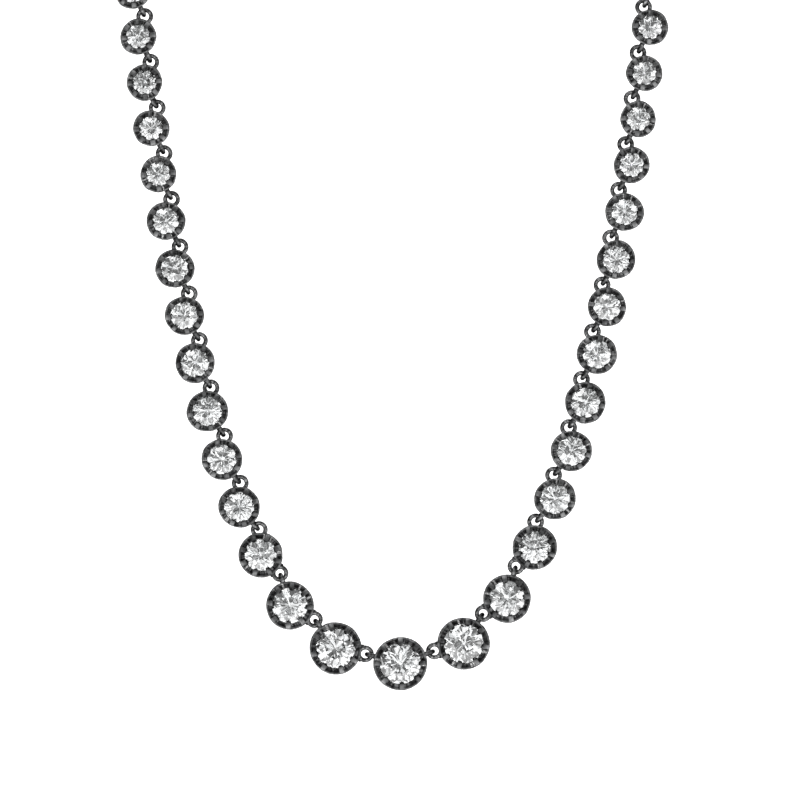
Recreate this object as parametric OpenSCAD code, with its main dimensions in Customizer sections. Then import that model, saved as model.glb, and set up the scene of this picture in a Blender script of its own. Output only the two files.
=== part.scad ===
// Riviere necklace: graduated round brilliants in cut-down settings of blackened metal.
// The front hangs in a plane from the shoulders, and the rest goes back over them and round the neck.
// +Z is up, +X is right, and the stones of the front face -Y. The origin is in the middle of the neck
// hoop, at the level that the backs of its settings rest on.

/* [Settings] */
// Width of the centre setting
centre_d = 9.4; // [8.6:0.1:11]
// Width of the metal round each stone, from the outer edge to the stone's edge
rim_w = 1.0; // [0.8:0.05:1.2]
// Height of a setting from its widest edge down to its back edge
wall_h = 2.95; // [2.7:0.05:4]
// How far the wall leans in from the widest edge to the back edge
wall_lean = 0.7; // [0.3:0.05:0.9]
// How far the wall's top rises from its outer edge to the stone
bevel_h = 0.45; // [0.2:0.05:0.8]
// Width of the ledge under the stone's edge
seat_w = 0.3; // [0.15:0.05:0.4]

/* [Claws] */
// Width of a claw
claw_w = 0.9; // [0.6:0.05:1]
// How far a claw stands above the cut-down wall
claw_t = 0.35; // [0.25:0.05:0.6]
// How far a claw stands out from the side of the wall
claw_proud = 0.1; // [0.05:0.01:0.2]
// How far a claw reaches in over the stone
claw_lap = 0.4; // [0.25:0.05:0.6]

/* [Stones] */
// Clearance between a stone and its setting
stone_fit = 0.12; // [0.12:0.01:0.15]
// Thickness of a stone's edge
girdle_t = 0.08; // [0.05:0.01:0.15]
// Slope of a stone's upper side, in degrees
crown_slope = 33; // [28:1:38]
// Slope of a stone's lower side, in degrees
pavilion_slope = 41; // [38:1:43]

/* [Links] */
// Outer width of the ring that stands out from a setting
ring_d = 3.0; // [2.9:0.05:3.3]
// Thickness of the ring's wire
ring_wire = 0.67; // [0.6:0.01:0.7]
// Height of the loop that stands across the ring
loop_h = 2.5; // [2.4:0.05:2.7]
// Thickness of the loop's wire
loop_wire = 0.58; // [0.5:0.01:0.62]
// Thickness of the web between a lug's ring and its setting
lug_t = 0.55; // [0.5:0.01:0.58]
// Width of that web where it meets the setting
lug_foot = 3.3; // [3:0.1:3.6]
// Clearance between a ring and the loop that hangs in it
link_fit = 0.17; // [0.15:0.01:0.2]
// Distance from a setting's edge to the middle of its own ring
ring_reach = 0.66; // [0.55:0.01:0.9]
// Distance from a setting's edge to the hole of its own lug
lug_reach = 0.84; // [0.7:0.01:1]
// Distance from a setting's edge to the middle of the ring that its loop holds
loop_reach = 1.8; // [1.75:0.01:2]

/* [Chain] */
// Radius of the chain's curve at its lowest point
hang_a = 16.1; // [15:0.1:19]
// Height of the front, from the lowest joint to the shoulders
front_h = 124; // [115:1:135]
// Radius of the bend over the shoulders
shoulder_r = 26; // [24:1:30]
// How far the chain has slipped round to the right
slip = 0.65; // [0:0.05:1]
// Number of settings on each side of the centre
side_links = 25; // [24:1:28]

/* [Clasp] */
// Length of the clasp
clasp_l = 9; // [7:0.5:12]
// Width of the clasp
clasp_w = 4.4; // [3.5:0.1:6]
// Thickness of the clasp
clasp_t = 2.6; // [2.4:0.1:3]

/* [Hidden] */
$fn = 48;
LEFT = -1;
RIGHT = 1;
CLAWS = 8;

// Widths of the settings from the centre outwards, as shares of the centre one. The last goes on to the clasp.
SHARES = [
    1, 0.975, 0.895, 0.83, 0.765, 0.755, 0.76, 0.735,
    0.715, 0.715, 0.725, 0.685, 0.68
];

// The links next to the centre have a webbed lug on the side of the centre, and the others a loop.
LUG_LINKS = 3;
// Settings of each side that are nodes of their own, and stones of each side that are
own_settings = 15;
own_stones = 4;

// Angle between a setting's inner side and its joints: the centre setting's are wider apart
joint_angle = 69;
centre_angle = 72.5;

function setting_r(k) = centre_d / 2 * SHARES[min(k, len(SHARES) - 1)];
function stone_r(k) = setting_r(k) - rim_w - stone_fit;

// Heights in a setting, from the plane of its ring
edge_cover = 0.1;
edge_z = loop_h / 2 + edge_cover;
top_z = edge_z + bevel_h;
back_z = edge_z - wall_h;
stone_rise = 0.05;
girdle_z = top_z + stone_rise - stone_fit - girdle_t / 2;

// Sizes of the joint. The far wire of a loop rests against the inside of the ring.
ring_mid_r = (ring_d - ring_wire) / 2;
loop_mid_r = (loop_h - loop_wire) / 2;
far_wire = ring_d / 2 - ring_wire - loop_wire / 2 - link_fit;
// The joint turns about a point between the two wires, this far from the middle of the ring. Its share
// of the way from the loop's wire to the ring's leaves room for a turn in the ring's plane and out of it.
HINGE_SHARE = 0.6;
hinge = far_wire + HINGE_SHARE * (ring_mid_r - far_wire);

function has_lug(k) = k > 0 && k <= LUG_LINKS;
function spread(k) = k == 0 ? centre_angle : joint_angle;
// Joints that have a lug turn about the middle of its hole, which is the same thing in a flat chain
function turn_offset(joint) = joint < LUG_LINKS ? 0 : hinge;

// Joint points of setting k in its own frame: the first towards the centre, the second towards the
// clasp. The inner side of the chain is +Y times side.
function first_axis(k, side) = [-sin(spread(k)), side * cos(spread(k)), 0];
function second_axis(k, side) = [sin(spread(k)), side * cos(spread(k)), 0];
function first_joint(k, side) =
    (setting_r(k) + (has_lug(k) ? lug_reach : loop_reach - turn_offset(k - 1))) * first_axis(k, side);
// The next setting hangs outside the line of the chain, and the one at the clasp doesn't
function next_axis(k, side) = k == side_links ? [1, 0, 0] : -first_axis(k, side);
function second_joint(k, side) =
    k < LUG_LINKS
        ? (setting_r(k) + loop_reach) * second_axis(k, side)
        : (setting_r(k) + ring_reach) * second_axis(k, side) + turn_offset(k) * next_axis(k, side);
function chord(k) = norm(second_joint(k, 1) - first_joint(k, 1));
clasp_joint = clasp_l / 2 + loop_reach - hinge;

// Route of the right side, by its length q from the lowest point and the depth b of the hoop: a
// catenary up to the shoulders, and then half an ellipse, bent back over the shoulders.
front_q = sqrt(pow(front_h + hang_a, 2) - pow(hang_a, 2));
function arc_sinh(x) = ln(x + sqrt(x * x + 1));
hoop_w = hang_a * arc_sinh(front_q / hang_a);
function hoop_angle(q, b) = (q - front_q) / b * 180 / PI;
function flat_x(q, b) = q < front_q ? hang_a * arc_sinh(q / hang_a) : hoop_w * cos(hoop_angle(q, b));
function flat_h(q, b) =
    q < front_q
        ? sqrt(hang_a * hang_a + q * q) - hang_a
        : front_h + b * sin(hoop_angle(q, b));
function bend_angle(h) = min(90, max(0, (h - front_h) / shoulder_r * 180 / PI));
bend_l = shoulder_r * PI / 2;
function bent(x, h) = [
    x,
    shoulder_r * (1 - cos(bend_angle(h))) + max(0, h - front_h - bend_l),
    min(h, front_h) + shoulder_r * sin(bend_angle(h))
];
function at(q, b) = bent(flat_x(q, b), flat_h(q, b));
function facing(q, b) = [0, -cos(bend_angle(flat_h(q, b))), sin(bend_angle(flat_h(q, b)))];

// The point of the route that lies a straight distance c from the one at q, found by steps
STEPS = 7;
function seek(q, d, c, b, n) =
    n == 0 ? q + d : seek(q, d * c / norm(at(q + d, b) - at(q, b)), c, b, n - 1);
function walk(q, k, b) =
    k > side_links ? [q] : concat([q], walk(seek(q, chord(k), chord(k), b, STEPS), k + 1, b));

// Half the length of route that the centre setting spans
function mirrored(p) = [-p[0], p[1], p[2]];
function half_span(h, n) =
    n == 0 ? h : half_span(h * chord(0) / norm(at(h + slip, 1) - mirrored(at(h - slip, 1))), n - 1);
start = half_span(chord(0) / 2, STEPS);
function joints(side, b) = walk(start + side * slip, 1, b);
function end_x(side, b) = flat_x(joints(side, b)[side_links], b);

// Depth of the hoop at which the chain closes on the clasp, found by halving, from the bend alone up to
// this many times the front's height
DEEPEST = 4;
HALVINGS = 18;
function closing_depth(low, high, n) =
    let (b = (low + high) / 2)
    n == 0 ? b
        : end_x(RIGHT, b) + end_x(LEFT, b) > 2 * clasp_joint
            ? closing_depth(low, b, n - 1)
            : closing_depth(b, high, n - 1);
hoop_b = closing_depth(bend_l / 2, DEEPEST * front_h, HALVINGS);
RIGHT_Q = joints(RIGHT, hoop_b);
LEFT_Q = joints(LEFT, hoop_b);

// The origin lies under the middle of the hoop
hoop_depth = shoulder_r + max(0, hoop_b - bend_l);
shift = [0, -hoop_depth / 2, -front_h - shoulder_r - back_z];
function placed(side, q) = (side == RIGHT ? at(q, hoop_b) : mirrored(at(q, hoop_b))) + shift;

function unit(v) = v / norm(v);
function across(v, t) = unit(v - (v * t) * t);
// Matrix that takes the local points a and b to the world points pa and pb, with local Z along n
function frame_matrix(a, b, pa, pb, n) =
    let (
        t = unit(pb - pa),
        z = across(n, t),
        y0 = cross(z, t),
        turn = atan2(b[1] - a[1], b[0] - a[0]),
        x = cos(turn) * t - sin(turn) * y0,
        y = sin(turn) * t + cos(turn) * y0,
        o = pa - a[0] * x - a[1] * y
    )
    [
        [x[0], y[0], z[0], o[0]],
        [x[1], y[1], z[1], o[1]],
        [x[2], y[2], z[2], o[2]],
        [0, 0, 0, 1]
    ];
function link_matrix(k, side) =
    let (q = side == RIGHT ? RIGHT_Q : LEFT_Q)
    k == 0
        ? frame_matrix(
            first_joint(0, 1), second_joint(0, 1),
            placed(LEFT, LEFT_Q[0]), placed(RIGHT, RIGHT_Q[0]), [0, -1, 0])
        : frame_matrix(
            first_joint(k, side), second_joint(k, side),
            placed(side, q[k - 1]), placed(side, q[k]),
            facing(q[k - 1], hoop_b) + facing(q[k], hoop_b));
clasp_matrix = frame_matrix(
    [-clasp_joint, 0, 0], [clasp_joint, 0, 0],
    placed(RIGHT, RIGHT_Q[side_links]), placed(LEFT, LEFT_Q[side_links]), [0, 0, 1]);

function name_of(kind, side, k) =
    str(kind, side == RIGHT ? "_right_" : "_left_", k < 10 ? "0" : "", k);

// A ring of round wire in its own plane, soldered to the wall
module ring() {
    rotate_extrude() translate([ring_mid_r, 0]) circle(d = ring_wire);
}

// A ring with a solid web behind it, wide where it meets the wall. The web ends inside the ring's wire.
module lug() {
    foot_l = lug_reach + rim_w;
    ring();
    translate([0, 0, -lug_t / 2]) linear_extrude(lug_t) difference() {
        polygon([[0, -ring_mid_r], [0, ring_mid_r], [-foot_l, lug_foot / 2], [-foot_l, -lug_foot / 2]]);
        circle(r = ring_mid_r);
    }
}

// A loop of round wire that stands across the ring. +X leads away from the setting, whose edge is at 0.
module loop() {
    translate([loop_reach - far_wire - loop_mid_r, 0, 0]) rotate([90, 0, 0])
        rotate_extrude() translate([loop_mid_r, 0]) circle(d = loop_wire);
}

module wall(r) {
    rotate_extrude() polygon([
        [0, back_z], [r - claw_proud - wall_lean, back_z], [r - claw_proud, edge_z],
        [r - rim_w, top_z], [0, top_z]
    ]);
}

// A claw runs up the side of the wall and over its edge, and its tip bends over the stone. It starts a
// share of the wall's height above the back edge, and is thickest over the stone's edge.
CLAW_START = 0.25;
TIP_SWELL = 1.25;
module claw(r) {
    foot_z = back_z + wall_h * CLAW_START;
    foot_r = r - wall_lean * (1 - CLAW_START);
    tip_r = r - rim_w - stone_fit - claw_lap;
    rotate([90, 0, 0]) linear_extrude(claw_w, center = true) polygon([
        [tip_r, top_z], [r - rim_w, foot_z], [foot_r, foot_z], [r, edge_z + claw_t / 2],
        [r - claw_t / 2, edge_z + claw_t], [r - rim_w, top_z + claw_t],
        [tip_r + claw_lap / 2, top_z + claw_t * TIP_SWELL], [tip_r, top_z + claw_t]
    ]);
}

// Room for the stone, with its clearance, and the open back under it. It goes a little past the claws'
// tips, as a share of their reach, and past the back.
TIP_ROOM = 1.5;
PAST_BACK = 1;
module stone_room(k) {
    r = stone_r(k) + stone_fit;
    bore_r = stone_r(k) - seat_w;
    ledge_z = girdle_z - girdle_t / 2 - stone_fit;
    upper_z = top_z + stone_rise;
    tip_r = stone_r(k) - claw_lap * TIP_ROOM;
    rotate_extrude() polygon([
        [0, back_z - PAST_BACK], [bore_r, back_z - PAST_BACK],
        [bore_r, ledge_z - (r - bore_r) * tan(pavilion_slope)], [r, ledge_z],
        [r, upper_z], [tip_r, upper_z + (r - tip_r) * tan(crown_slope)],
        [tip_r, top_z + wall_h], [0, top_z + wall_h]
    ]);
}

module setting(k, side) {
    r = setting_r(k);
    difference() {
        union() {
            wall(r);
            for (i = [0:CLAWS - 1]) rotate([0, 0, i * 360 / CLAWS]) claw(r);
            rotate([0, 0, side * (90 + spread(k))]) {
                if (has_lug(k)) translate([r + lug_reach, 0, 0]) lug();
                else translate([r, 0, 0]) loop();
            }
            rotate([0, 0, side * (90 - spread(k))]) {
                if (k < LUG_LINKS) translate([r, 0, 0]) loop();
                else translate([r + ring_reach, 0, 0]) ring();
            }
        }
        stone_room(k);
    }
}

// An old brilliant cut: an eight-sided table with stars, kites and halves above the edge, and halves,
// mains and an open culet below it. Its kites lie under the claws. Its inner corners lie at these shares
// of its radius.
TABLE_SHARE = 0.53;
STAR_SHARE = 0.74;
CULET_SHARE = 0.09;
HALVES_SHARE = 0.45;
module brilliant(r) {
    table_r = TABLE_SHARE * r;
    star_r = STAR_SHARE * r;
    culet_r = CULET_SHARE * r;
    halves_r = HALVES_SHARE * r;
    step = 360 / CLAWS;
    edge_h = girdle_t / 2;
    table_h = edge_h + (r - table_r) * tan(crown_slope);
    culet_h = -edge_h - (r - culet_r) * tan(pavilion_slope);
    // The kites and the mains are flat, so their side corners lie in the plane of their ends
    star_h = table_h - (star_r * cos(step / 2) - table_r) * tan(crown_slope);
    halves_h = culet_h + (halves_r * cos(step / 2) - culet_r) * tan(pavilion_slope);
    function ring_of(n, radius, h, first) =
        [for (i = [0:n - 1]) [radius * cos(first + i * 360 / n), radius * sin(first + i * 360 / n), h]];
    n = CLAWS;
    points = concat(
        ring_of(n, table_r, table_h, 0),
        ring_of(n, star_r, star_h, step / 2),
        ring_of(2 * n, r, edge_h, 0),
        ring_of(2 * n, r, -edge_h, 0),
        ring_of(n, halves_r, halves_h, step / 2),
        ring_of(n, culet_r, culet_h, 0)
    );
    star = n;
    upper = 2 * n;
    lower = 4 * n;
    half = 6 * n;
    culet = 7 * n;
    faces = concat(
        [[for (i = [n - 1:-1:0]) i]],
        [[for (i = [0:n - 1]) culet + i]],
        [for (i = [0:n - 1]) let (j = (i + 1) % n) each [
            [i, j, star + i],
            [j, star + j, upper + 2 * j, star + i],
            [star + i, upper + 2 * i + 1, upper + 2 * i],
            [star + i, upper + 2 * j, upper + 2 * i + 1],
            [half + i, lower + 2 * i, lower + 2 * i + 1],
            [half + i, lower + 2 * i + 1, lower + 2 * j],
            [half + i, lower + 2 * j, half + j, culet + j],
            [culet + i, half + i, culet + j]
        ]],
        [for (i = [0:2 * n - 1]) let (j = (i + 1) % (2 * n))
            [upper + i, upper + j, lower + j, lower + i]]
    );
    polyhedron(points, faces, convexity = 2);
}

module placed_setting(k, side) {
    color("dimgray") multmatrix(link_matrix(k, side)) setting(k, side);
}

module placed_stone(k, side) {
    color("aliceblue") multmatrix(link_matrix(k, side)) translate([0, 0, girdle_z])
        brilliant(stone_r(k));
}

// A plain rounded bar with a loop at each end
module clasp() {
    color("dimgray") multmatrix(clasp_matrix) {
        translate([0, 0, -clasp_t / 2]) linear_extrude(clasp_t) {
            square([clasp_l - clasp_w, clasp_w], center = true);
            for (end = [-1, 1]) translate([end * (clasp_l - clasp_w) / 2, 0]) circle(d = clasp_w);
        }
        for (turn = [0, 180]) rotate([0, 0, turn]) translate([clasp_l / 2, 0, 0]) loop();
    }
}

placed_setting(0, RIGHT);  // setting_centre
for (side = [LEFT, RIGHT], k = [1:own_settings])
    placed_setting(k, side);
for (k = [own_settings + 1:side_links]) placed_setting(k, LEFT);  // chain_back_left
for (k = [own_settings + 1:side_links]) placed_setting(k, RIGHT);  // chain_back_right
clasp();
placed_stone(0, RIGHT);  // stone_centre
for (side = [LEFT, RIGHT], k = [1:own_stones])
    placed_stone(k, side);
for (k = [own_stones + 1:own_settings]) placed_stone(k, LEFT);  // stones_left
for (k = [own_stones + 1:own_settings]) placed_stone(k, RIGHT);  // stones_right
for (k = [own_settings + 1:side_links]) placed_stone(k, LEFT);  // stones_back_left
for (k = [own_settings + 1:side_links]) placed_stone(k, RIGHT);  // stones_back_right
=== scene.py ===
"""Riviere necklace: graduated old brilliants in blackened cut-down settings, hung from the shoulders.

Lengths are in millimetres until a mesh is made, and those of the lights and the sweep are in metres. The
links' places follow from the same sizes as the solids, and each piece is checked against the box of the
solid that it replaces.
"""
import math
import random

import bpy
import numpy as np
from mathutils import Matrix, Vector


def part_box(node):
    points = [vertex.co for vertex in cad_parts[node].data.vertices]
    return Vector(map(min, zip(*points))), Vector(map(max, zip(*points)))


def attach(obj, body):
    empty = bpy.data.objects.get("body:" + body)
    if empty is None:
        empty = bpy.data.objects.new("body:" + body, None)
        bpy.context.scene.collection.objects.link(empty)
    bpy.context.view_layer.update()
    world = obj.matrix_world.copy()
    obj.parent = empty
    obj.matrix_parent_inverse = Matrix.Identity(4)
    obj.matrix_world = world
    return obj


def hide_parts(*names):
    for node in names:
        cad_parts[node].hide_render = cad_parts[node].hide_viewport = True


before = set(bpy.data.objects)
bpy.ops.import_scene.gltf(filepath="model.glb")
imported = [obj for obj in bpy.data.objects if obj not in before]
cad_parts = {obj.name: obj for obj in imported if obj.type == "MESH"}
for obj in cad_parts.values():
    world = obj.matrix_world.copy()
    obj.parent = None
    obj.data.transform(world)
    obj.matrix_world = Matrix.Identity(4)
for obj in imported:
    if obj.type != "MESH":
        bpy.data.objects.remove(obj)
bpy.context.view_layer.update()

MM = 0.001
LEFT, RIGHT = -1, 1

# Sizes of the settings, claws and stones. SHARES are the settings' diameters, as shares of the centre's.
CENTRE_D = 9.4
RIM_W = 1.0
WALL_H = 2.95
WALL_LEAN = 0.7
BEVEL_H = 0.45
EDGE_COVER = 0.1
CLAWS = 8
CLAW_W = 0.9
CLAW_T = 0.35
CLAW_LAP = 0.4
CLAW_START = 0.25
STONE_FIT = 0.12
GIRDLE_T = 0.08
STONE_RISE = 0.05
CROWN_SLOPE = math.tan(math.radians(33))
PAVILION_SLOPE = math.tan(math.radians(41))
SHARES = [
    1, 0.975, 0.895, 0.83, 0.765, 0.755, 0.76, 0.735,
    0.715, 0.715, 0.725, 0.685, 0.68,
]

# Sizes of the rings, loops and lugs. A reach is the distance from a setting's edge to a joint or its end.
RING_D = 3.0
RING_WIRE = 0.67
LOOP_H = 2.5
LOOP_WIRE = 0.58
LUG_T = 0.55
LUG_FOOT = 3.3
LINK_FIT = 0.17
RING_REACH = 0.66
LUG_REACH = 0.84
LOOP_REACH = 1.8
LUG_LINKS = 3

# Wire as shown, close to the 0.74 mm measured in the photo, and how far the outer radius grows with it.
# The solids' wire is thinner, so that links keep clear of each other at every turn.
RING_SHOWN = 0.77
RING_GROWN = 0.03
LOOP_SHOWN = 0.8
LOOP_GROWN = 0.1

# Sizes of the chain and the clasp. HANG_A is the parameter of the front's catenary, SLIP how far the chain
# has slipped round to the right, and the two OWN values count each side's links with nodes of their own.
HANG_A = 16.1
FRONT_H = 124
SHOULDER_R = 26
SLIP = 0.65
SIDE_LINKS = 25
OWN_SETTINGS = 15
OWN_STONES = 4
JOINT_ANGLE = math.radians(69)
CENTRE_ANGLE = math.radians(72.5)
HINGE_SHARE = 0.6
CLASP_L = 9
CLASP_W = 4.4
CLASP_T = 2.6

# Rounds of the two searches along the route, and how far a piece may lie from the solid that it replaces
PLACING_ROUNDS = 7
CLOSING_ROUNDS = 18
PLACE_TOLERANCE = 0.35

# Rims as shown: the last link of each run, the edge's growth and the rim's width. With these the render's
# rims measure close to the photo's.
SHOWN_RIMS = [(3, 0.06, 0.95), (9, 0.08, 0.85), (SIDE_LINKS, 0, 0.91)]

# Derived heights in a setting, from the plane of its ring, and sizes of the joint and the route
EDGE_Z = LOOP_H / 2 + EDGE_COVER
TOP_Z = EDGE_Z + BEVEL_H
BACK_Z = EDGE_Z - WALL_H
GIRDLE_Z = TOP_Z + STONE_RISE - STONE_FIT - GIRDLE_T / 2
RING_MID_R = (RING_D - RING_WIRE) / 2
FAR_WIRE = RING_D / 2 - RING_WIRE - LOOP_WIRE / 2 - LINK_FIT
HINGE = FAR_WIRE + HINGE_SHARE * (RING_MID_R - FAR_WIRE)
FRONT_Q = math.sqrt((FRONT_H + HANG_A) ** 2 - HANG_A ** 2)
HOOP_W = HANG_A * math.asinh(FRONT_Q / HANG_A)
BEND_L = SHOULDER_R * math.pi / 2
HOOP_LIMITS = (BEND_L / 2, 4 * FRONT_H)
CLASP_JOINT = CLASP_L / 2 + LOOP_REACH - HINGE

# Seeds of the random draws
SETTING_SEED = 0
STONE_SEED = 7000
CLASP_SEED = 1
SEEDS_A_LINK = 100

# Surface of the wall. Depths are in millimetres, HATCH_DEPTH for each unit of hatch. Hatch, marks and greys
# are amounts of wear, glints are painted highlights, and INNER_MARKS and GREY_IN_CUTS are factors on them.
WALL_COLUMNS = 112
EDGE_WAVES = (2, 3, 7)
WAVE_DEPTH = 0.06
EDGE_GRIT = 0.015
FLUTE_DEPTH = 0.02
CUT_DEPTH = 0.07
HATCH = 0.16
HATCH_DEPTH = 0.25
MARKS = (0, 0, 0, 0.08, 0.22)
INNER_MARKS = 2
GREY_IN_CUTS = 1.7
PAINTED_GLINT = 1.2
PAINTED_GLINT_CHANCE = 0.035
WALL_SPECKLE = 0.04
# How wavy the edge is and how grey the wall, on the settings up to the last lug and on the smaller ones
LARGE_WALL = (1.3, 0.03)
SMALL_WALL = (1.9, 0.07)

# Outline of the wall's section: the distance in from the widest edge, on a rim of full width, the height and
# the wear. It goes up the outside, over the lip, down into the cut between the claws, and down the bore.
SECTION = [
    (0.8, BACK_Z, 0.3),
    (0.74, BACK_Z + 0.12, 0.45),
    (0.54, BACK_Z + 0.8, 0.2),
    (0.28, BACK_Z + 1.6, 0.2),
    (0.05, EDGE_Z - 0.55, 0.2),
    (-0.06, EDGE_Z - 0.14, 0.25),
    (-0.05, EDGE_Z + 0.04, 0.34),
    (0.14, EDGE_Z + 0.1, 0.34),
    (0.34, EDGE_Z + 0.04, 0.22),
    (0.52, EDGE_Z - 0.26, 0.04),
    (0.78, EDGE_Z - 0.22, 0),
    (0.93, EDGE_Z + 0.12, 0.05),
    (1, GIRDLE_Z + 0.13, 0.2),
    (1.08, GIRDLE_Z + 0.11, 0.12),
    (1.01, GIRDLE_Z - 0.06, 0),
    (1.42, EDGE_Z - 0.19, 0),
    (1.42, BACK_Z, 0.15),
]
EDGE_ROWS = range(4, 8)
CUT_ROWS = range(8, 12)
INNER_ROWS = range(10, 13)

# Ranges of a claw's width, lap, lift and tone, and how many degrees it may stand out of its place
CLAW_WIDTHS = (0.86, 1.1)
CLAW_LAPS = (0.7, 1.15)
CLAW_LIFTS = (0.02, 0.08)
CLAW_TONES = (-0.36, -0.14)
CLAW_STRAY = 3
CLAW_SPECKLE = 0.1
UNDERSIDE_WEAR = 0.05
# Share of the lap that claws have on the settings past the last lug
SMALL_LAP = 0.55
# Half of a claw's section, from the middle to the side: the share of its half width, the depth below its
# outer side and the loss of wear
CLAW_SECTION = [(0.82, 0, 0), (0.97, 0.06, 0.1), (1, 0.17, 0.35)]

# Surface of the rings' and loops' wire, with wear and a painted highlight along the crest that faces the
# front, and the loops' twist in degrees
WIRE_SWELL = 0.03
WIRE_WAVES = 3
WIRE_WEAR = 0.08
CREST_WEAR_AND_HIGHLIGHT = 0.45
CREST_SHARPNESS = 4
CREST_SPOTS = (0.3, 0.6, 1, 1.5)
WIRE_SPECKLE = 0.06
RING_SHINE = 0.8
LOOP_SHINE = 0.7
LOOP_TWIST = (5, 10)

# The web of a lug: its steps round the ring, how full its foot is, and the place of its two tips
WEB_STEPS = 12
WEB_FULLNESS = 1.4
WEB_TIP_IN = 0.3
WEB_TIP_OUT = 0.12
WEB_WEAR = 0.12
WEB_SPECKLE = 0.08

# Beads of solder: half lengths outwards, across and up, and the distance in from the edge
LOOP_SOLDER, LOOP_SOLDER_IN = (0.35, 0.42, 0.5), 0.25
RING_SOLDER, RING_SOLDER_IN = (0.35, 0.9, 0.36), 0.3
CLASP_SOLDER, CLASP_SOLDER_IN = (0.24, 0.45, 0.6), 0.1
SOLDER_ROWS = 8
SOLDER_COLUMNS = 12
SOLDER_SWELL = 0.08
SOLDER_WEAR = 0.28

# Ranges of an old brilliant's radii, as shares of the girdle's, and how uneven its corners are
TABLE_SHARE = (0.48, 0.56)
STAR_SHARE = (0.71, 0.77)
CULET_SHARE = (0.05, 0.08)
HALVES_SHARE = (0.5, 0.62)
CROWN_UNEVEN = 0.03
PAVILION_UNEVEN = 0.1
HEIGHT_UNEVEN = 0.3

# Rounded edge of the clasp: the distance in from its side, and the height as a share of half its thickness
CLASP_EDGE = [(0.5, -1), (0.15, -0.93), (0, -0.7), (0, 0.7), (0.15, 0.93), (0.5, 1), (0.75, 0.9)]
CLASP_COLUMNS = 20
CLASP_WEAR = 0.28
CLASP_SPECKLE = 0.06

# Metal: scale and detail of its noises, depth of the grain in metres, colour by wear and painted highlight,
# roughness by mottling, and how much shine smooths it
MOTTLE = (1400, 4)
MOTTLE_SHARE = 0.7
GRAIN = (6500, 3)
GRAIN_BUMP = 0.35
GRAIN_DEPTH = 0.00005
METAL_COLOURS = [
    (0, (0.012, 0.012, 0.0125)),
    (0.35, (0.14, 0.142, 0.144)),
    (0.75, (0.42, 0.423, 0.427)),
    (1, (0.8, 0.8, 0.8)),
]
METAL_ROUGHNESS = [(0.3, 0.38), (0.7, 0.6)]
SHINE_SHARE = 0.55
METALLIC = 0.9
METAL_TINT = (0.25, 0.25, 0.25, 1)

# Stone: scale and detail of its haze, and its colour and roughness by haze
HAZE = (900, 2)
STONE_COLOURS = [(0.35, (0.74, 0.76, 0.77)), (0.65, (0.93, 0.94, 0.94))]
STONE_ROUGHNESS = [(0.4, 0), (0.8, 0.03)]
DIAMOND_IOR = 2.417

# The camera looks level at the hanging front. PIXEL is the size there of one of the frame's pixels, and
# VERTEX_PX is where the photo shows the lowest point of the route. The clips are in metres.
PIXEL = 0.1793
FRAME_PX = 800
VERTEX_PX = (395.4, 659.2)
SENSOR = 36
CAMERA_BACK = 1000
CLIP_NEAR, CLIP_FAR = 0.05, 10
PHOTO_ROLL = math.radians(0.25)

# The white sweep, in metres. It is far enough away to show no shadow, and leaves room for a camera behind.
SWEEP_W = 6.4
SWEEP_FRONT_Y = -1.5
SWEEP_BACK_Y = 2.1
SWEEP_FLOOR_Z = -0.42
SWEEP_TOP_Z = 4.6
SWEEP_BEND_R = 0.6
SWEEP_BEND_STEPS = 16
SWEEP_COLOUR = (0.95, 0.95, 0.95, 1)
SWEEP_ROUGHNESS = 0.9
SWEEP_GLOW = 0.8

# How strongly the room shines on the stones and the metal, and the point that the soft boxes face
ROOM_GREY = 0.2
BOX_AIM = (0, 0, -0.07)
# Rings of soft boxes: name, count, the first one's place in steps, radius, Y, size and strengths in turn
BOX_RINGS = [
    ("ring_box", 8, 0.4, 0.42, -0.62, (0.26, 0.36), (0.86, 0.32)),
    ("near_box", 5, 0.1, 0.2, -0.85, (0.07, 0.12), (0.6,)),
]
# Single soft boxes: name, place, size and strength
SOFT_BOXES = [
    ("key", (-0.35, -0.35, 0.75), (0.5, 0.3), 4),
    ("fill", (0.8, -0.2, 0.05), (0.3, 0.6), 0.9),
]
# Lamps for the sweep and its floor: name, place, aim, size and watts
SWEEP_LAMPS = [
    ("sweep_light", (0, 0.25, 1.1), (0, 0.9, -0.1), (2.0, 0.4), 6),
    ("floor_light", (0, 0.3, 0.9), (0, 0.5, -0.42), (1.6, 0.6), 4),
]


def setting_r(k):
    return CENTRE_D / 2 * SHARES[min(k, len(SHARES) - 1)]


def shown_rim(k):
    """Outer radius and width of a rim as shown, which differ a little from the solid's."""
    grown, width = next((grown, width) for last, grown, width in SHOWN_RIMS if k <= last)
    return setting_r(k) + grown, width


def shown_stone_r(k):
    edge, width = shown_rim(k)
    return edge - width - STONE_FIT


def has_lug(k):
    return 0 < k <= LUG_LINKS


def spread(k):
    """Angle between a setting's middle line and each of its two joints."""
    return CENTRE_ANGLE if k == 0 else JOINT_ANGLE


def turn_offset(joint):
    return 0 if joint < LUG_LINKS else HINGE


def first_axis(k, side):
    return np.array([-math.sin(spread(k)), side * math.cos(spread(k)), 0])


def second_axis(k, side):
    return np.array([math.sin(spread(k)), side * math.cos(spread(k)), 0])


def first_joint(k, side):
    reach = LUG_REACH if has_lug(k) else LOOP_REACH - turn_offset(k - 1)
    return (setting_r(k) + reach) * first_axis(k, side)


def second_joint(k, side):
    if k < LUG_LINKS:
        return (setting_r(k) + LOOP_REACH) * second_axis(k, side)
    onward = np.array([1, 0, 0]) if k == SIDE_LINKS else -first_axis(k, side)
    return (setting_r(k) + RING_REACH) * second_axis(k, side) + turn_offset(k) * onward


def chord(k):
    return np.linalg.norm(second_joint(k, 1) - first_joint(k, 1))


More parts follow.
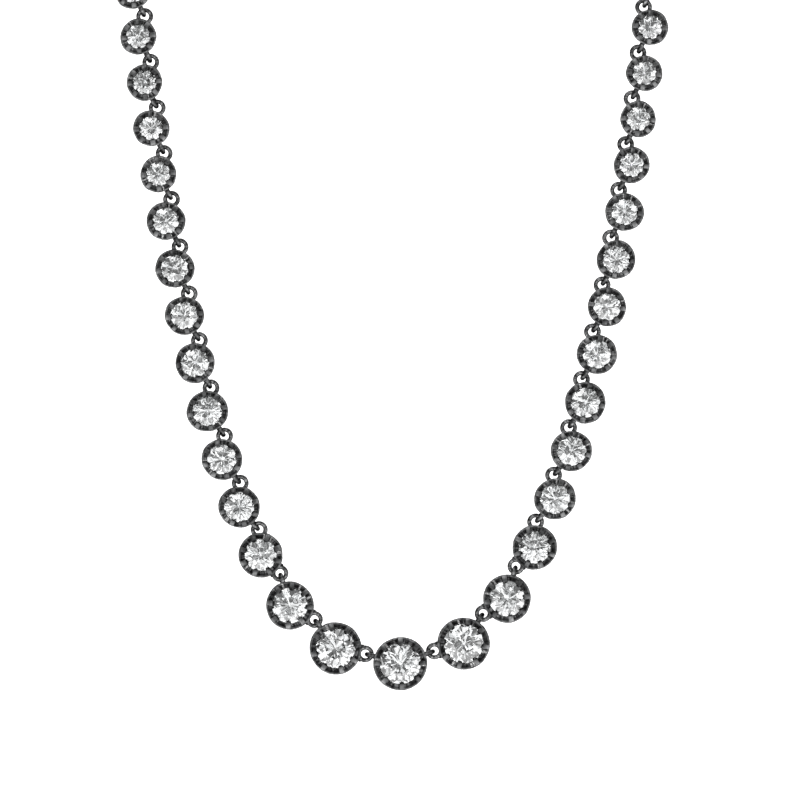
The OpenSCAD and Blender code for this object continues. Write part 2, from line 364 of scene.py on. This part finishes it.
def flat_point(q, b):
    """Width and height of the route at length q, laid flat. The hoop reaches b past the front."""
    if q < FRONT_Q:
        return HANG_A * math.asinh(q / HANG_A), math.hypot(HANG_A, q) - HANG_A
    angle = (q - FRONT_Q) / b
    return HOOP_W * math.cos(angle), FRONT_H + b * math.sin(angle)


def bend_angle(h):
    return min(math.pi / 2, max(0, (h - FRONT_H) / SHOULDER_R))


def route_point(q, b):
    """Place at length q of the route, bent back over the shoulders."""
    x, h = flat_point(q, b)
    turn = bend_angle(h)
    back = SHOULDER_R * (1 - math.cos(turn)) + max(0, h - FRONT_H - BEND_L)
    return np.array([x, back, min(h, FRONT_H) + SHOULDER_R * math.sin(turn)])


def facing(q, b):
    turn = bend_angle(flat_point(q, b)[1])
    return np.array([0, -math.cos(turn), math.sin(turn)])


def mirrored(p):
    return p * np.array([-1, 1, 1])


def joints(side, b):
    """Lengths along the route of one side's joints, from the centre outwards."""
    half = chord(0) / 2
    for _ in range(PLACING_ROUNDS):
        # Both of the centre's joints lie in the front, where b changes nothing
        ends = route_point(half + SLIP, 1), mirrored(route_point(half - SLIP, 1))
        half *= chord(0) / np.linalg.norm(ends[0] - ends[1])
    out = [half + side * SLIP]
    for k in range(1, SIDE_LINKS + 1):
        q = out[-1]
        step = chord(k)
        for _ in range(PLACING_ROUNDS):
            step *= chord(k) / np.linalg.norm(route_point(q + step, b) - route_point(q, b))
        out.append(q + step)
    return out


def closing_reach():
    """How far the hoop reaches past the front when the chain closes on the clasp."""
    low, high = HOOP_LIMITS
    for _ in range(CLOSING_ROUNDS):
        b = (low + high) / 2
        ends = sum(flat_point(joints(side, b)[SIDE_LINKS], b)[0] for side in (LEFT, RIGHT))
        low, high = (low, b) if ends > 2 * CLASP_JOINT else (b, high)
    return (low + high) / 2


HOOP_B = closing_reach()
ROUTE = {side: joints(side, HOOP_B) for side in (LEFT, RIGHT)}
HOOP_DEPTH = SHOULDER_R + max(0, HOOP_B - BEND_L)
SHIFT = np.array([0, -HOOP_DEPTH / 2, -FRONT_H - SHOULDER_R - BACK_Z])


def placed(side, q):
    p = route_point(q, HOOP_B)
    return (p if side == RIGHT else mirrored(p)) + SHIFT


def unit(v):
    return v / np.linalg.norm(v)


def frame_matrix(a, b, a_placed, b_placed, normal):
    """Rotation and origin that take local a and b to their places, with local Z along the normal."""
    along = unit(b_placed - a_placed)
    z = unit(normal - np.dot(normal, along) * along)
    across = np.cross(z, along)
    turn = math.atan2(b[1] - a[1], b[0] - a[0])
    x = math.cos(turn) * along - math.sin(turn) * across
    y = math.sin(turn) * along + math.cos(turn) * across
    return np.stack([x, y, z], 1), a_placed - a[0] * x - a[1] * y


def link_frame(k, side):
    if k == 0:
        ends = placed(LEFT, ROUTE[LEFT][0]), placed(RIGHT, ROUTE[RIGHT][0])
        return frame_matrix(first_joint(0, 1), second_joint(0, 1), *ends, np.array([0, -1, 0]))
    q0, q1 = ROUTE[side][k - 1], ROUTE[side][k]
    normal = facing(q0, HOOP_B) + facing(q1, HOOP_B)
    return frame_matrix(
        first_joint(k, side), second_joint(k, side), placed(side, q0), placed(side, q1), normal)


def clasp_frame():
    reach = np.array([CLASP_JOINT, 0, 0])
    ends = placed(RIGHT, ROUTE[RIGHT][SIDE_LINKS]), placed(LEFT, ROUTE[LEFT][SIDE_LINKS])
    return frame_matrix(-reach, reach, *ends, np.array([0, 0, 1]))


def make_camera():
    data = bpy.data.cameras.new("camera")
    data.sensor_width = SENSOR
    data.lens = SENSOR * CAMERA_BACK / (PIXEL * FRAME_PX)
    data.clip_start = CLIP_NEAR
    data.clip_end = CLIP_FAR
    camera = bpy.data.objects.new("camera", data)
    bpy.context.collection.objects.link(camera)
    x = (FRAME_PX / 2 - VERTEX_PX[0]) * PIXEL
    z = SHIFT[2] + (VERTEX_PX[1] - FRAME_PX / 2) * PIXEL
    camera.location = Vector((x, SHIFT[1] - CAMERA_BACK, z)) * MM
    camera.rotation_euler = (math.pi / 2, PHOTO_ROLL, 0)
    bpy.context.scene.camera = camera


def node_tree(name):
    material = bpy.data.materials.new(name)
    material.use_nodes = True
    nodes = material.node_tree.nodes
    return material, nodes, material.node_tree.links, nodes["Principled BSDF"]


def noise(nodes, links, coords, scale, detail):
    tex = nodes.new("ShaderNodeTexNoise")
    tex.inputs["Scale"].default_value = scale
    tex.inputs["Detail"].default_value = detail
    links.new(coords, tex.inputs["Vector"])
    return tex.outputs["Fac"]


def ramp(nodes, links, value, stops):
    """Colour or level by value, from stops of a position and a colour or a level."""
    node = nodes.new("ShaderNodeValToRGB")
    elements = node.color_ramp.elements
    while len(elements) < len(stops):
        elements.new(0.5)
    for element, (position, level) in zip(elements, stops):
        element.position = position
        element.color = (*level, 1) if isinstance(level, tuple) else (level, level, level, 1)
    links.new(value, node.inputs["Fac"])
    return node.outputs["Color"]


def math_node(nodes, links, operation, a, b):
    node = nodes.new("ShaderNodeMath")
    node.operation = operation
    for socket, value in zip(node.inputs, (a, b)):
        if isinstance(value, (int, float)):
            socket.default_value = value
        else:
            links.new(value, socket)
    return node.outputs[0]


def attribute(nodes, name):
    node = nodes.new("ShaderNodeAttribute")
    node.attribute_name = name
    return node.outputs["Fac"]


def metal_material():
    """Blackened silver: grey where wear and painted highlight are high, and smoother where shine is."""
    material, nodes, links, shader = node_tree("blackened_silver")
    coords = nodes.new("ShaderNodeTexCoord").outputs["Object"]
    wear_and_highlight = attribute(nodes, "wear_and_highlight")
    shine = attribute(nodes, "shine")
    mottle = noise(nodes, links, coords, *MOTTLE)
    grain = noise(nodes, links, coords, *GRAIN)
    centred = math_node(nodes, links, "SUBTRACT", mottle, 0.5)
    patches = math_node(nodes, links, "MULTIPLY", centred, MOTTLE_SHARE)
    level = math_node(nodes, links, "ADD", wear_and_highlight, patches)
    links.new(ramp(nodes, links, level, METAL_COLOURS), shader.inputs["Base Color"])
    matt = ramp(nodes, links, mottle, METAL_ROUGHNESS)
    smoothed = math_node(nodes, links, "MULTIPLY", shine, SHINE_SHARE)
    dull = math_node(nodes, links, "SUBTRACT", 1, smoothed)
    links.new(math_node(nodes, links, "MULTIPLY", matt, dull), shader.inputs["Roughness"])
    shader.inputs["Metallic"].default_value = METALLIC
    shader.inputs["Specular Tint"].default_value = METAL_TINT
    bump = nodes.new("ShaderNodeBump")
    bump.inputs["Strength"].default_value = GRAIN_BUMP
    bump.inputs["Distance"].default_value = GRAIN_DEPTH
    links.new(grain, bump.inputs["Height"])
    links.new(bump.outputs["Normal"], shader.inputs["Normal"])
    return material


def diamond_material():
    """Clear stone, with a faint haze that greys it and keeps its facets from being perfect mirrors."""
    material, nodes, links, shader = node_tree("diamond")
    coords = nodes.new("ShaderNodeTexCoord").outputs["Object"]
    haze = noise(nodes, links, coords, *HAZE)
    links.new(ramp(nodes, links, haze, STONE_COLOURS), shader.inputs["Base Color"])
    links.new(ramp(nodes, links, haze, STONE_ROUGHNESS), shader.inputs["Roughness"])
    shader.inputs["Transmission Weight"].default_value = 1
    shader.inputs["IOR"].default_value = DIAMOND_IOR
    return material


def outward(points, faces):
    """The faces of a closed shell, turned so that they look out of it."""
    corners = np.array([(f[0], f[i], f[i + 1]) for f in faces for i in range(1, len(f) - 1)])
    a, b, c = (points[corners[:, i]] for i in range(3))
    volume = np.einsum("ij,ij->", a, np.cross(b, c))
    return faces if volume > 0 else [f[::-1] for f in faces]


class Shells:
    """Closed shells of points in millimetres, which become one mesh."""

    def __init__(self):
        self.points = []
        self.faces = []
        self.wear_and_highlight = []
        self.shine = []
        self.smooth = []
        self.count = 0

    def add(self, points, faces, wear_and_highlight, shine=0, smooth=True):
        points = np.asarray(points, float)
        self.points.append(points)
        self.faces += [tuple(i + self.count for i in face) for face in outward(points, faces)]
        self.wear_and_highlight.append(np.broadcast_to(np.asarray(wear_and_highlight, float), len(points)))
        self.shine.append(np.broadcast_to(np.asarray(shine, float), len(points)))
        self.smooth += [smooth] * len(faces)
        self.count += len(points)

    def place(self, other, rotation, origin):
        """Takes in the shells of another, moved to their place."""
        for points in other.points:
            self.points.append(points @ rotation.T + origin)
        self.faces += [tuple(i + self.count for i in face) for face in other.faces]
        self.wear_and_highlight += other.wear_and_highlight
        self.shine += other.shine
        self.smooth += other.smooth
        self.count += other.count

    def to_object(self, name, material, slot, replaced):
        mesh = bpy.data.meshes.new(name)
        points = np.concatenate(self.points) * MM
        mesh.from_pydata(points.tolist(), [], self.faces)
        for layer, values in (("wear_and_highlight", self.wear_and_highlight), ("shine", self.shine)):
            attribute_layer = mesh.attributes.new(layer, "FLOAT", "POINT")
            attribute_layer.data.foreach_set("value", np.concatenate(values))
        mesh.polygons.foreach_set("use_smooth", self.smooth)
        mesh.materials.append(material)
        mesh.update()
        piece = bpy.data.objects.new(name, mesh)
        bpy.context.collection.objects.link(piece)
        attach(piece, "root")
        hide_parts(*replaced)


def grid_faces(rows, cols):
    """Faces of a grid that closes on itself both ways, such as a torus."""
    faces = []
    for i in range(rows):
        for j in range(cols):
            a, b = i * cols + j, i * cols + (j + 1) % cols
            c, d = ((i + 1) % rows) * cols + (j + 1) % cols, ((i + 1) % rows) * cols + j
            faces.append((a, b, c, d))
    return faces


def tube_faces(rows, cols):
    """Faces of a closed tube: its rows of points joined round, and a cap on each end."""
    faces = [
        (i * cols + j, i * cols + (j + 1) % cols, (i + 1) * cols + (j + 1) % cols, (i + 1) * cols + j)
        for i in range(rows - 1) for j in range(cols)]
    faces.append(tuple(range(cols - 1, -1, -1)))
    faces.append(tuple((rows - 1) * cols + j for j in range(cols)))
    return faces


def turned(points, angle):
    c, s = math.cos(angle), math.sin(angle)
    return points @ np.array([[c, s, 0], [-s, c, 0], [0, 0, 1]])


def set_out(points, x, angle):
    """Moves points out along X, and then turns them round Z."""
    return turned(np.asarray(points) + np.array([x, 0, 0]), angle)


def either_way(rng, amount):
    return rng.uniform(-amount, amount)


def add_wall(shells, k, rng):
    """The cut-down wall: shallow flutes between the claws, fine cuts across the dark groove and painted
    glints.
    """
    edge, width = shown_rim(k)
    rough, grey = LARGE_WALL if k <= LUG_LINKS else SMALL_WALL
    phases = [rng.uniform(0, math.tau) for _ in EDGE_WAVES]
    points, wear_and_highlight, shine = [], [], []
    for i in range(WALL_COLUMNS):
        angle = i * math.tau / WALL_COLUMNS
        between = 0.5 - 0.5 * math.cos(CLAWS * angle)
        uneven = either_way(rng, EDGE_GRIT)
        for waves, phase in zip(EDGE_WAVES, phases):
            uneven += WAVE_DEPTH * rough / waves * math.sin(waves * angle + phase)
        cut = either_way(rng, CUT_DEPTH)
        mark = rng.choice(MARKS)
        scratch = mark + GREY_IN_CUTS * grey
        hatch = either_way(rng, HATCH)
        # A rare painted glint: a bright spot of colour in the cuts for a glint of light, where the metal is
        # smoother too.
        painted_glint = rng.random() < PAINTED_GLINT_CHANCE
        for row, (inset, z, level) in enumerate(SECTION):
            rho = edge - inset * width / RIM_W
            if row in EDGE_ROWS:
                rho += uneven - FLUTE_DEPTH * between
                level += hatch + grey
                z += hatch * HATCH_DEPTH
            if row in CUT_ROWS:
                z += cut
                level += PAINTED_GLINT if painted_glint else scratch
            # Next to the stone the marks count double, and the painted glints reach there too.
            if row in INNER_ROWS:
                level += PAINTED_GLINT if painted_glint else INNER_MARKS * mark
            points.append((rho * math.cos(angle), rho * math.sin(angle), z))
            wear_and_highlight.append(level + either_way(rng, WALL_SPECKLE))
            shine.append(1 if painted_glint and row in CUT_ROWS else 0)
    shells.add(points, grid_faces(WALL_COLUMNS, len(SECTION)), wear_and_highlight, shine)


def claw_section(outer, out, half, thick, level):
    """The points round a claw's section, each as its place across, its radius and height, and its wear."""
    right = [(half * share, outer - depth * out, level - loss) for share, depth, loss in CLAW_SECTION]
    right.append((half, outer - thick * out, UNDERSIDE_WEAR))
    left = [(-across, place, shade) for across, place, shade in reversed(right)]
    return left[-1:] + right + left[:-1]


def add_claw(shells, k, angle, rng):
    """A claw up the side of the wall, over its lip and down on the stone, with a rounded tip."""
    r, width = shown_rim(k)
    half = CLAW_W / 2 * rng.uniform(*CLAW_WIDTHS)
    lap = CLAW_LAP * rng.uniform(*CLAW_LAPS) * (1 if k <= LUG_LINKS else SMALL_LAP)
    lift = rng.uniform(*CLAW_LIFTS)
    tone = rng.uniform(*CLAW_TONES)
    tip_r = r - width - STONE_FIT - lap
    foot_z = BACK_Z + WALL_H * CLAW_START
    crown_z = GIRDLE_Z + lap * CROWN_SLOPE
    # Radius and height of the outer side, the tilt of its normal in degrees, the thickness, the share of the
    # width and the wear
    stations = [
        (r - 0.6, foot_z - 0.15, 0, 0.1, 0.75, 0.3),
        (r - WALL_LEAN * 0.72, foot_z + 0.1, 8, 0.3, 0.95, 0.55),
        (r - 0.28, 0.35, 14, 0.35, 1, 0.45),
        (r - 0.1, EDGE_Z - 0.2, 14, 0.4, 1, 0.5),
        (r - 0.05, EDGE_Z + 0.05, 30, 0.42, 1, 0.62),
        (r - 0.16, EDGE_Z + 0.26, 62, 0.42, 0.98, 0.74),
        (r - 0.55, TOP_Z + 0.06, 68, 0.4, 0.96, 0.62),
        (r - width, TOP_Z + CLAW_T * 0.8, 80, 0.28, 1, 0.52),
        ((r - width + tip_r) / 2 - 0.05, TOP_Z + CLAW_T * 0.95, 95, 0.13, 1.02, 0.36),
        (tip_r + 0.04, TOP_Z + CLAW_T * 0.8, 125, 0.09, 0.85, 0.2),
        (tip_r - 0.03, crown_z + 0.17, 160, 0.06, 0.6, 0.06),
    ]
    points, wear_and_highlight = [], []
    for rho, z, tilt, thick, share, level in stations:
        out = np.array([math.cos(math.radians(tilt)), math.sin(math.radians(tilt))])
        outer = np.array([rho, z + lift])
        for across, (x, height), shade in claw_section(outer, out, half * share, thick, level):
            points.append((x, across, height))
            wear_and_highlight.append(shade + tone + either_way(rng, CLAW_SPECKLE))
    faces = tube_faces(len(stations), len(points) // len(stations))
    shells.add(turned(np.array(points), angle), faces, wear_and_highlight)


def torus(mid_r, wire_r, rng, around=40, across=14, upright=False):
    """A slightly uneven ring of wire round Z, worn and given a painted highlight on the side that will look
    out of the front.
    """
    points, wear_and_highlight = [], []
    phase = rng.uniform(0, math.tau)
    for i in range(around):
        u = i * math.tau / around
        swell = wire_r * (1 + WIRE_SWELL * math.sin(WIRE_WAVES * u + phase))
        spot = rng.choice(CREST_SPOTS)
        for j in range(across):
            v = j * math.tau / across
            rho = mid_r + swell * math.cos(v)
            points.append((rho * math.cos(u), rho * math.sin(u), swell * math.sin(v)))
            # The crest that faces the front is worn and carries a painted highlight, narrow and in spots.
            crest = math.cos(v) * math.sin(u) if upright else math.sin(v)
            worn_and_highlight = CREST_WEAR_AND_HIGHLIGHT * max(0, crest) ** CREST_SHARPNESS * spot
            wear_and_highlight.append(WIRE_WEAR + worn_and_highlight + either_way(rng, WIRE_SPECKLE))
    return np.array(points), grid_faces(around, across), wear_and_highlight


def add_ring(shells, x, angle, rng):
    points, faces, wear_and_highlight = torus(RING_D / 2 + RING_GROWN - RING_SHOWN / 2, RING_SHOWN / 2, rng)
    shells.add(set_out(points, x, angle), faces, wear_and_highlight, RING_SHINE)


def add_loop(shells, x, angle, rng):
    """The loop stands across the ring, turned a little about its own length as worn loops are."""
    mid_r = LOOP_H / 2 + LOOP_GROWN - LOOP_SHOWN / 2
    points, faces, wear_and_highlight = torus(mid_r, LOOP_SHOWN / 2, rng, around=36, across=12, upright=True)
    twist = math.radians(rng.uniform(*LOOP_TWIST)) * rng.choice((-1, 1))
    c, s = math.cos(twist), math.sin(twist)
    standing = points[:, [0, 2, 1]] @ np.array([[1, 0, 0], [0, c, s], [0, -s, c]])
    centre = x + LOOP_REACH - FAR_WIRE + (LOOP_SHOWN - LOOP_WIRE) / 2 - mid_r
    shells.add(set_out(standing, centre, angle), faces, wear_and_highlight, LOOP_SHINE)


def add_web(shells, x, angle, rng):
    """The solid web behind a lug's ring, as wide at the wall as its foot."""
    half_turns = [math.pi * i / WEB_STEPS for i in range(WEB_STEPS + 1)]
    rim = [math.radians(90 + 180 * i / WEB_STEPS) for i in range(WEB_STEPS + 1)]
    inner = [(RING_MID_R * math.cos(a), RING_MID_R * math.sin(a)) for a in rim]
    length = LUG_REACH + RIM_W
    outer = [
        (-length * min(1, WEB_FULLNESS * math.sin(a)), LUG_FOOT / 2 * math.cos(a)) for a in half_turns]
    outer[0] = (-WEB_TIP_IN, RING_MID_R + WEB_TIP_OUT)
    outer[-1] = (-WEB_TIP_IN, -RING_MID_R - WEB_TIP_OUT)
    points, faces = [], []
    for (ix, iy), (ox, oy) in zip(inner, outer):
        points += [(ix, iy, LUG_T / 2), (ox, oy, LUG_T / 2), (ox, oy, -LUG_T / 2), (ix, iy, -LUG_T / 2)]
    for i in range(WEB_STEPS):
        for j in range(4):
            a, b = i * 4 + j, i * 4 + (j + 1) % 4
            faces.append((a, a + 4, b + 4, b))
    last = WEB_STEPS * 4
    faces += [(0, 1, 2, 3), (last + 3, last + 2, last + 1, last)]
    wear_and_highlight = [WEB_WEAR + either_way(rng, WEB_SPECKLE) for _ in points]
    shells.add(set_out(points, x, angle), faces, wear_and_highlight, smooth=False)


def add_solder(shells, x, angle, size, rng):
    """A flattened bead of solder where a ring or loop meets the wall."""
    rows, cols = SOLDER_ROWS, SOLDER_COLUMNS
    points = [(0, 0, size[2]), (0, 0, -size[2])]
    for i in range(1, rows):
        v = math.pi * i / rows
        for j in range(cols):
            u = j * math.tau / cols
            swell = 1 + either_way(rng, SOLDER_SWELL)
            points.append((
                size[0] * swell * math.sin(v) * math.cos(u),
                size[1] * swell * math.sin(v) * math.sin(u),
                size[2] * math.cos(v)))
    faces = [(0, 2 + j, 2 + (j + 1) % cols) for j in range(cols)]
    for i in range(rows - 2):
        for j in range(cols):
            a, b = 2 + i * cols + j, 2 + i * cols + (j + 1) % cols
            faces.append((a, a + cols, b + cols, b))
    last = 2 + (rows - 2) * cols
    faces += [(1, last + (j + 1) % cols, last + j) for j in range(cols)]
    shells.add(set_out(points, x, angle), faces, SOLDER_WEAR)


def link_rng(seed, k, side):
    return random.Random(seed + SEEDS_A_LINK * k + side)


def setting_shells(k, side):
    shells = Shells()
    rng = link_rng(SETTING_SEED, k, side)
    r = setting_r(k)
    add_wall(shells, k, rng)
    for i in range(CLAWS):
        add_claw(shells, k, i * math.tau / CLAWS + math.radians(either_way(rng, CLAW_STRAY)), rng)
    to_centre = side * (math.pi / 2 + spread(k))
    to_clasp = side * (math.pi / 2 - spread(k))
    if has_lug(k):
        add_ring(shells, r + LUG_REACH, to_centre, rng)
        add_web(shells, r + LUG_REACH, to_centre, rng)
    else:
        add_loop(shells, r, to_centre, rng)
        add_solder(shells, r - LOOP_SOLDER_IN, to_centre, LOOP_SOLDER, rng)
    if k < LUG_LINKS:
        add_loop(shells, r, to_clasp, rng)
        add_solder(shells, r - LOOP_SOLDER_IN, to_clasp, LOOP_SOLDER, rng)
    else:
        add_ring(shells, r + RING_REACH, to_clasp, rng)
        add_solder(shells, r - RING_SOLDER_IN, to_clasp, RING_SOLDER, rng)
    return shells


def stone_circle(rng, n, radius, h, first, unevenness=0):
    """A circle of n corners at height h, the first of them at an angle of its own."""
    out = []
    for i in range(n):
        a = first + i * math.tau / n + unevenness * either_way(rng, 0.5)
        rho = radius * (1 + unevenness * either_way(rng, 1))
        height = h * (1 + HEIGHT_UNEVEN * unevenness * either_way(rng, 1))
        out.append((rho * math.cos(a), rho * math.sin(a), height))
    return out


def stone_faces(n):
    """Table, culet, star, kite, half and girdle facets over the circles of corners in stone_shells."""
    star, upper, lower, half, culet = n, 2 * n, 4 * n, 6 * n, 7 * n
    faces = [tuple(range(n)), tuple(culet + i for i in range(n - 1, -1, -1))]
    for i in range(n):
        j = (i + 1) % n
        faces += [
            (star + i, j, i), (star + i, upper + 2 * j, star + j, j),
            (upper + 2 * i, upper + 2 * i + 1, star + i), (upper + 2 * i + 1, upper + 2 * j, star + i),
            (lower + 2 * i + 1, lower + 2 * i, half + i), (lower + 2 * j, lower + 2 * i + 1, half + i),
            (culet + j, half + j, lower + 2 * j, half + i), (culet + j, half + i, culet + i),
        ]
    for i in range(2 * n):
        j = (i + 1) % (2 * n)
        faces.append((lower + i, lower + j, upper + j, upper + i))
    return faces


def stone_shells(k, side):
    """An old brilliant with its own table, culet and turn, because no two such stones are alike."""
    shells = Shells()
    rng = link_rng(STONE_SEED, k, side)
    r = shown_stone_r(k)
    table_r = rng.uniform(*TABLE_SHARE) * r
    star_r = rng.uniform(*STAR_SHARE) * r
    culet_r = rng.uniform(*CULET_SHARE) * r
    halves_r = rng.uniform(*HALVES_SHARE) * r
    n = CLAWS
    step = math.tau / n
    edge_h = GIRDLE_T / 2
    table_h = edge_h + (r - table_r) * CROWN_SLOPE
    culet_h = -edge_h - (r - culet_r) * PAVILION_SLOPE
    star_h = table_h - (star_r * math.cos(step / 2) - table_r) * CROWN_SLOPE
    halves_h = culet_h + (halves_r * math.cos(step / 2) - culet_r) * PAVILION_SLOPE
    points = (
        stone_circle(rng, n, table_r, table_h, 0)
        + stone_circle(rng, n, star_r, star_h, step / 2, CROWN_UNEVEN)
        + stone_circle(rng, 2 * n, r, edge_h, 0)
        + stone_circle(rng, 2 * n, r, -edge_h, 0)
        + stone_circle(rng, n, halves_r, halves_h, step / 2, PAVILION_UNEVEN)
        + stone_circle(rng, n, culet_r, culet_h, 0, PAVILION_UNEVEN))
    stone = turned(np.array(points), rng.uniform(0, step)) + np.array([0, 0, GIRDLE_Z])
    shells.add(stone, stone_faces(n), 0, smooth=False)
    return shells


def clasp_shells():
    """A plain bar with round ends and rounded edges, and a loop at each end."""
    shells = Shells()
    rng = random.Random(CLASP_SEED)
    end_x = (CLASP_L - CLASP_W) / 2
    points = []
    for inset, level in CLASP_EDGE:
        radius = CLASP_W / 2 - inset
        for end in (1, -1):
            for i in range(CLASP_COLUMNS):
                a = -end * math.pi / 2 + math.pi * i / (CLASP_COLUMNS - 1)
                x = end * end_x + radius * math.cos(a)
                points.append((x, radius * math.sin(a), level * CLASP_T / 2))
    wear_and_highlight = [CLASP_WEAR + either_way(rng, CLASP_SPECKLE) for _ in points]
    shells.add(points, tube_faces(len(CLASP_EDGE), 2 * CLASP_COLUMNS), wear_and_highlight)
    for angle in (0, math.pi):
        add_loop(shells, CLASP_L / 2, angle, rng)
        add_solder(shells, CLASP_L / 2 - CLASP_SOLDER_IN, angle, CLASP_SOLDER, rng)
    return shells


def check_place(name, points):
    """Stops if a piece isn't where the solid that it replaces is."""
    low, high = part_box(name)
    middle = np.array((low + high) / 2) / MM
    found = (points.min(0) + points.max(0)) / 2
    off = np.linalg.norm(middle - found)
    if off > PLACE_TOLERANCE:
        raise RuntimeError(f"{name} is {off:.2f} mm from its place")


def make_piece(name, whole, material, slot):
    """One piece from placed shells, instead of the node of the same name."""
    check_place(name, np.concatenate(whole.points))
    whole.to_object(name + ".fine", material, slot, [name])


def make_group(name, links, shells_of, material, slot):
    """One piece from the shells of one or more links."""
    whole = Shells()
    for k, side in links:
        whole.place(shells_of(k, side), *link_frame(k, side))
    make_piece(name, whole, material, slot)


def make_necklace():
    silver = metal_material()
    metal = (setting_shells, silver, "blackened_silver")
    clear = (stone_shells, diamond_material(), "diamond")
    make_group("setting_centre", [(0, RIGHT)], *metal)
    make_group("stone_centre", [(0, RIGHT)], *clear)
    for side, word in ((LEFT, "left"), (RIGHT, "right")):
        for k in range(1, OWN_SETTINGS + 1):
            make_group(f"setting_{word}_{k:02d}", [(k, side)], *metal)
        for k in range(1, OWN_STONES + 1):
            make_group(f"stone_{word}_{k:02d}", [(k, side)], *clear)
        middle = [(k, side) for k in range(OWN_STONES + 1, OWN_SETTINGS + 1)]
        rear = [(k, side) for k in range(OWN_SETTINGS + 1, SIDE_LINKS + 1)]
        make_group(f"stones_{word}", middle, *clear)
        make_group(f"stones_back_{word}", rear, *clear)
        make_group(f"chain_back_{word}", rear, *metal)
    clasp = Shells()
    clasp.place(clasp_shells(), *clasp_frame())
    make_piece("clasp", clasp, silver, "blackened_silver")


def sweep_material():
    material, _, _, shader = node_tree("sweep")
    shader.inputs["Base Color"].default_value = SWEEP_COLOUR
    shader.inputs["Roughness"].default_value = SWEEP_ROUGHNESS
    shader.inputs["Emission Color"].default_value = (1, 1, 1, 1)
    shader.inputs["Emission Strength"].default_value = SWEEP_GLOW
    return material


def make_sweep():
    """A white floor that bends up into a wall."""
    profile = [(SWEEP_FRONT_Y, SWEEP_FLOOR_Z)]
    for i in range(SWEEP_BEND_STEPS + 1):
        a = math.pi / 2 * i / SWEEP_BEND_STEPS
        y = SWEEP_BACK_Y - SWEEP_BEND_R + SWEEP_BEND_R * math.sin(a)
        profile.append((y, SWEEP_FLOOR_Z + SWEEP_BEND_R * (1 - math.cos(a))))
    profile.append((SWEEP_BACK_Y, SWEEP_TOP_Z))
    points = [(x, y, z) for y, z in profile for x in (-SWEEP_W / 2, SWEEP_W / 2)]
    faces = [(2 * i, 2 * i + 1, 2 * i + 3, 2 * i + 2) for i in range(len(profile) - 1)]
    mesh = bpy.data.meshes.new("sweep")
    mesh.from_pydata(points, [], faces)
    mesh.polygons.foreach_set("use_smooth", [True] * len(faces))
    mesh.materials.append(sweep_material())
    sweep = bpy.data.objects.new("sweep", mesh)
    bpy.context.collection.objects.link(sweep)


def area_light(name, location, target, size, watts):
    data = bpy.data.lights.new(name, "AREA")
    data.shape = "RECTANGLE"
    data.size, data.size_y = size
    data.energy = watts
    lamp = bpy.data.objects.new(name, data)
    bpy.context.collection.objects.link(lamp)
    lamp.visible_camera = False
    lamp.location = location
    lamp.rotation_euler = (Vector(target) - Vector(location)).to_track_quat("-Z", "Y").to_euler()


def soft_box(name, location, size, radiance):
    """A rectangular light that faces the necklace and shines as strongly as a white wall times radiance."""
    area_light(name, location, BOX_AIM, size, radiance * math.pi * size[0] * size[1])


def ring_of_boxes(name, count, first, radius, y, size, radiances):
    for i in range(count):
        a = math.tau * (i + first) / count
        place = (radius * math.cos(a), y, BOX_AIM[2] + radius * math.sin(a))
        soft_box(f"{name}_{i}", place, size, radiances[i % len(radiances)])


def make_world():
    """White to the eye, and mid-grey to the stones and the metal, which would look flat in a white room."""
    world = bpy.data.worlds.new("studio")
    world.use_nodes = True
    nodes, links = world.node_tree.nodes, world.node_tree.links
    seen = nodes.new("ShaderNodeLightPath").outputs["Is Camera Ray"]
    strength = nodes.new("ShaderNodeMapRange")
    strength.inputs["To Min"].default_value = ROOM_GREY
    strength.inputs["To Max"].default_value = 1
    links.new(seen, strength.inputs["Value"])
    nodes["Background"].inputs["Color"].default_value = (1, 1, 1, 1)
    links.new(strength.outputs["Result"], nodes["Background"].inputs["Strength"])
    bpy.context.scene.world = world


def make_light():
    """Soft boxes round the front with darker gaps between them, which give the cut stones their life."""
    make_world()
    bpy.context.scene.view_settings.view_transform = "Standard"
    for row in BOX_RINGS:
        ring_of_boxes(*row)
    for row in SOFT_BOXES:
        soft_box(*row)
    for row in SWEEP_LAMPS:
        area_light(*row)


make_camera()
make_necklace()
make_sweep()
make_light()
